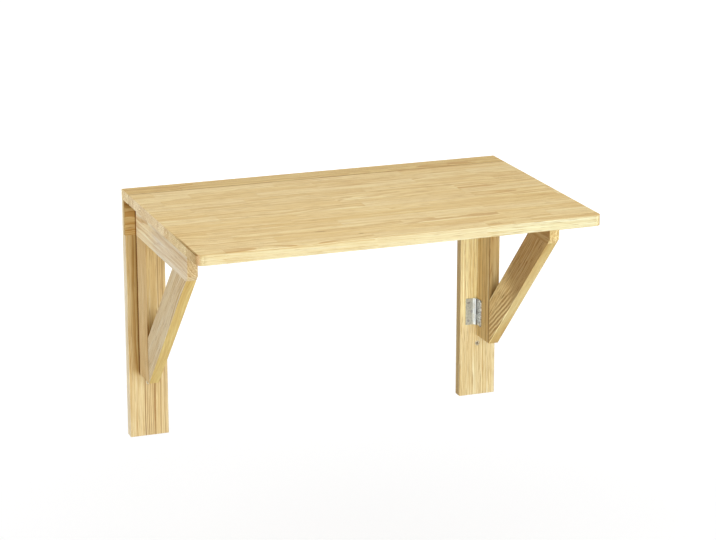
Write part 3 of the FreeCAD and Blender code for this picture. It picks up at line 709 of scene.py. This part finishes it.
def screw_tree():
    """Countersunk screws at the points given, each head turned to the point's own outward way."""
    tree = bpy.data.node_groups.new("countersunk screws", "GeometryNodeTree")
    face = tree.interface
    face.new_socket("Screws", in_out="OUTPUT", socket_type="NodeSocketGeometry")
    face.new_socket("Places", in_out="INPUT", socket_type="NodeSocketGeometry")
    sizes = ("Head radius", "Head height", "Shank radius", "Length", "Thread pitch")
    for name in sizes:
        face.new_socket(name, in_out="INPUT", socket_type="NodeSocketFloat")
    face.new_socket("Finish", in_out="INPUT", socket_type="NodeSocketMaterial")
    recipe = Recipe(tree)
    node = recipe.node
    places, head, height, shank, length, pitch, finish, _ = recipe.outlets(node("NodeGroupInput"))

    def raised(shape, lift):
        return node("GeometryNodeTransform", None,
                    {"Geometry": shape, "Translation": recipe.vector(0.0, 0.0, lift)})

    def cone(top, bottom, depth, lift, sides=24):
        made = node("GeometryNodeMeshCone", {"fill_type": "NGON"},
                    {"Vertices": sides, "Radius Top": top, "Radius Bottom": bottom, "Depth": depth})
        return raised(made, lift)

    def slot_blade(width, depth):
        return node("GeometryNodeMeshCube", None, {"Size": recipe.vector(width, depth, height * 1.1)})

    long_way, narrow_way = head * 1.3, head * 0.3
    cross = [slot_blade(long_way, narrow_way), slot_blade(narrow_way, long_way),
             cone(head * 0.4, head * 0.12, height, height * -0.92, sides=12)]
    cut_head = node("GeometryNodeMeshBoolean", {"operation": "DIFFERENCE", "solver": "EXACT"},
                    {"Mesh 1": cone(head, shank, height, -height), "Mesh 2": cross})
    core = cone(shank * 0.75, shank * 0.2, length - height * 0.8, -length)
    threaded = length - height * 1.6
    spiral = node("GeometryNodeCurveSpiral", None,
                  {"Resolution": 14, "Rotations": threaded / pitch, "Start Radius": shank * 0.3,
                   "End Radius": shank * 0.8, "Height": threaded})
    ridge = node("GeometryNodeCurvePrimitiveCircle", None, {"Resolution": 4, "Radius": shank * 0.2})
    thread = node("GeometryNodeCurveToMesh", None,
                  {"Curve": spiral, "Profile Curve": ridge, "Fill Caps": True})
    thread = raised(thread, -length)
    screw = node("GeometryNodeJoinGeometry", None, {0: [thread, core, cut_head]})
    outward = node("GeometryNodeInputNamedAttribute", {"data_type": "FLOAT_VECTOR"},
                   {"Name": "outward"})
    upright = node("FunctionNodeAlignRotationToVector", {"axis": "Z"}, {"Vector": outward})
    turn = node("FunctionNodeRandomValue", None, {2: 0.0, 3: math.pi, "Seed": 4}, 1)
    spin = node("FunctionNodeAxisAngleToRotation", None, {"Axis": Z, "Angle": turn})
    turned = node("FunctionNodeRotateRotation", {"rotation_space": "LOCAL"},
                  {"Rotation": upright, "Rotate By": spin})
    placed = node("GeometryNodeInstanceOnPoints", None,
                  {"Points": places, "Instance": screw, "Rotation": turned})
    solid = node("GeometryNodeRealizeInstances", None, {0: placed})
    coated = node("GeometryNodeSetMaterial", None, {"Geometry": solid, "Material": finish})
    node("NodeGroupOutput", None, {0: coated})
    return tree


def plain_mesh(piece):
    """Turns what a piece's modifiers make into its own mesh, with its faces pointing outwards."""
    bpy.context.view_layer.update()
    made = piece.evaluated_get(bpy.context.evaluated_depsgraph_get())
    mesh = bpy.data.meshes.new_from_object(made)
    piece.modifiers.clear()
    piece.data = mesh
    work = bmesh.new()
    work.from_mesh(mesh)
    bmesh.ops.remove_doubles(work, verts=work.verts, dist=SAME_POINT)
    bmesh.ops.recalc_face_normals(work, faces=work.faces)
    work.to_mesh(mesh)
    work.free()


def drive_screws(name, tree, places, outward, sizes, finish, body):
    """One piece of screws whose heads end at places, looking outward."""
    mesh = bpy.data.meshes.new(name)
    mesh.from_pydata(places, [], [])
    ways = mesh.attributes.new("outward", "FLOAT_VECTOR", "POINT")
    ways.data.foreach_set("vector", [part for _ in places for part in outward])
    piece = bpy.data.objects.new(name, mesh)
    scene.collection.objects.link(piece)
    modifier = piece.modifiers.new("screws", "NODES")
    modifier.node_group = tree
    for socket in tree.interface.items_tree:
        if socket.in_out == "INPUT" and socket.name in sizes:
            modifier[socket.identifier] = sizes[socket.name]
        elif socket.name == "Finish":
            modifier[socket.identifier] = finish
    plain_mesh(piece)
    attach(piece, body)
    return piece


def drive_hinge_screws(tree, finish):
    """Cross-head screws in place of the CAD's plain ones, of the same sizes and in the same places."""
    groups = {"strip_hinge_screws": -Z, "leaf_hinge_screws": -Z}
    for side, sign in SIDES:
        groups[side + "_plank_hinge_screws"] = -Y
        groups[side + "_bracket_hinge_screws"] = X * -sign
    for node, outward in groups.items():
        body = NODES[node]["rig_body"]
        boxes = loose_boxes(node)
        low, high = boxes[0]
        spread = high - low
        length = abs(spread.dot(outward))
        head = max(abs(spread.dot(way)) for way in (X, Y, Z) if abs(way.dot(outward)) < 0.5) / 2
        places = [(low + high) / 2 + outward * length / 2 for low, high in boxes]
        sizes = {"Head radius": head, "Head height": head * 0.45, "Shank radius": head * 0.55,
                 "Length": length, "Thread pitch": head * 0.5}
        name = node.replace("_screws", "_cross_screws")
        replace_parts(drive_screws(name, tree, places, outward, sizes, finish, body), node)


def drive_wall_screws(tree):
    """The screws that hold the planks to the wall, sunk in their countersinks. They end short of
    the wall, inside the planks."""
    holes = frame["record"]["mounts"][0]["dims"]
    radius = holes["hole_r_mm"] * MM
    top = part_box("left_wall_plank")[0].y + WALL_SCREW_SINK
    half_width = holes["spacing_x_mm"] / 2 * MM
    half_height = holes["spacing_y_mm"] / 2 * MM
    places = [Vector((side * half_width, top, level * half_height))
              for side in (-1, 1) for level in (-1, 1)]
    # painted shade in the screws' cross recesses, behind the heads' faces
    finish = zinc_finish("dull wall screw", paint(204, 188, 154), roughness=0.3, spangle=0.8,
                         frost=0.3, shade_behind=top / MM)
    sizes = {"Head radius": radius + WALL_HEAD_RIM, "Head height": WALL_HEAD_HEIGHT,
             "Shank radius": radius * SHANK_IN_HOLE, "Length": -top - WALL_SCREW_SHORT,
             "Thread pitch": WALL_SCREW_PITCH}
    drive_screws("wall_screws", tree, places, -Y, sizes, finish, "wall_frame")


def add_screws():
    finish = zinc_finish("zinc plated screw", paint(190, 191, 190), roughness=0.26, spangle=0.8)
    tree = screw_tree()
    drive_hinge_screws(tree, finish)
    drive_wall_screws(tree)


# ---------------------------------------------------------------- studio

CAMERA_PLACE = (-1.3852, -3.9359, 1.2376)
CAMERA_DOWN, CAMERA_TURN = math.radians(16.295), math.radians(20.494)
LENS, FILM_WIDTH = 121.74, 36.0
FLOOR_HEIGHT = -0.55
FLOOR_HALF = 20.0
WORLD_LIGHT = 0.25
AIM = Vector((0.0, -0.2, 0.05))
# name, way it shines from, distance, size, strength
LAMPS = (("top soft box", (0.22, -0.35, 1.0), 1.8, 1.6, 0.342),
         ("left soft box", (-1.0, -0.3, 0.8), 3.0, 2.2, 0.455),
         ("near front soft box", (-0.1, -1.0, 0.3), 2.2, 1.2, 0.18),
         ("far front soft box", (0.0, -1.0, 0.1), 4.0, 2.0, 0.48),
         ("right fill", (1.0, 0.0, 0.3), 4.0, 2.6, 0.3),
         ("back fill", (0.2, 1.0, 0.3), 4.0, 2.6, 0.3))


def add_lamp(name, way, distance, size, strength):
    """A square soft box. strength is what it adds to a surface that faces it, 1 being full light."""
    way = Vector(way).normalized()
    data = bpy.data.lights.new(name, "AREA")
    data.shape = "SQUARE"
    data.size = size
    data.energy = strength * math.pi ** 2 * distance ** 2
    lamp = bpy.data.objects.new(name, data)
    lamp.location = AIM + way * distance
    lamp.rotation_euler = way.to_track_quat("Z", "Y").to_euler()
    lamp.visible_camera = False
    scene.collection.objects.link(lamp)


def seen_rays(recipe):
    """1 for rays that show the backdrop to the camera, in metal or through glass."""
    names = ("Is Camera Ray", "Is Glossy Ray", "Is Transmission Ray")
    camera, glossy, through = (recipe.node("LightPath", out=name) for name in names)
    return camera.greater(glossy).greater(through)


def set_world():
    world = bpy.data.worlds.new("studio")
    world.use_nodes = True
    scene.world = world
    recipe = Recipe(world.node_tree)
    light = recipe.node("Background", None, {"Color": WHITE, "Strength": WORLD_LIGHT})
    white = recipe.node("Background", None, {"Color": WHITE, "Strength": 1.0})
    shown = recipe.node("MixShader", None, {0: seen_rays(recipe), 1: light, 2: white})
    recipe.node("OutputWorld", None, {"Surface": shown})


def add_floor():
    """A pale floor that reads as white and takes a faint shadow. From below it isn't there."""
    mesh = bpy.data.meshes.new("floor")
    points = [(x * FLOOR_HALF, y * FLOOR_HALF, FLOOR_HEIGHT)
              for x, y in ((-1, -1), (1, -1), (1, 1), (-1, 1))]
    mesh.from_pydata(points, [], [(0, 1, 2, 3)])
    floor = bpy.data.objects.new("floor", mesh)
    scene.collection.objects.link(floor)
    made, recipe = new_finish("pale floor")
    x, y, _ = recipe.parts(recipe.place())
    far = (x * x + y * y).root().step(0.3, 3.0)
    matt = recipe.node("BsdfDiffuse", None, {"Color": paint(245, 245, 245)})
    dim = recipe.node("BsdfDiffuse", None, {"Color": (0.3, 0.3, 0.3, 1.0)})
    glow = recipe.node("Emission", None, {"Color": recipe.mix(far, paint(222, 222, 222), WHITE)})
    bright = recipe.node("AddShader", None, {0: dim, 1: glow})
    above = recipe.node("MixShader", None, {0: seen_rays(recipe), 1: matt, 2: bright})
    behind = recipe.node("NewGeometry", out="Backfacing")
    shown = recipe.node("MixShader", None, {0: behind, 1: above, 2: recipe.node("BsdfTransparent")})
    recipe.node("OutputMaterial", None, {"Surface": shown})
    mesh.materials.append(made)


def add_camera():
    data = bpy.data.cameras.new("camera")
    data.sensor_width = FILM_WIDTH
    data.lens = LENS
    camera = bpy.data.objects.new("camera", data)
    camera.location = CAMERA_PLACE
    camera.rotation_euler = (math.pi / 2 - CAMERA_DOWN, 0, -CAMERA_TURN)
    scene.collection.objects.link(camera)
    scene.camera = camera


def light_studio():
    scene.view_settings.view_transform = "Standard"
    set_world()
    add_floor()
    for lamp in LAMPS:
        add_lamp(*lamp)


add_camera()
light_studio()
dress_top()
dress_wall_frame()
dress_arms()
dress_stiles()
dress_braces()
dress_dowels()
dress_metal()
add_screws()
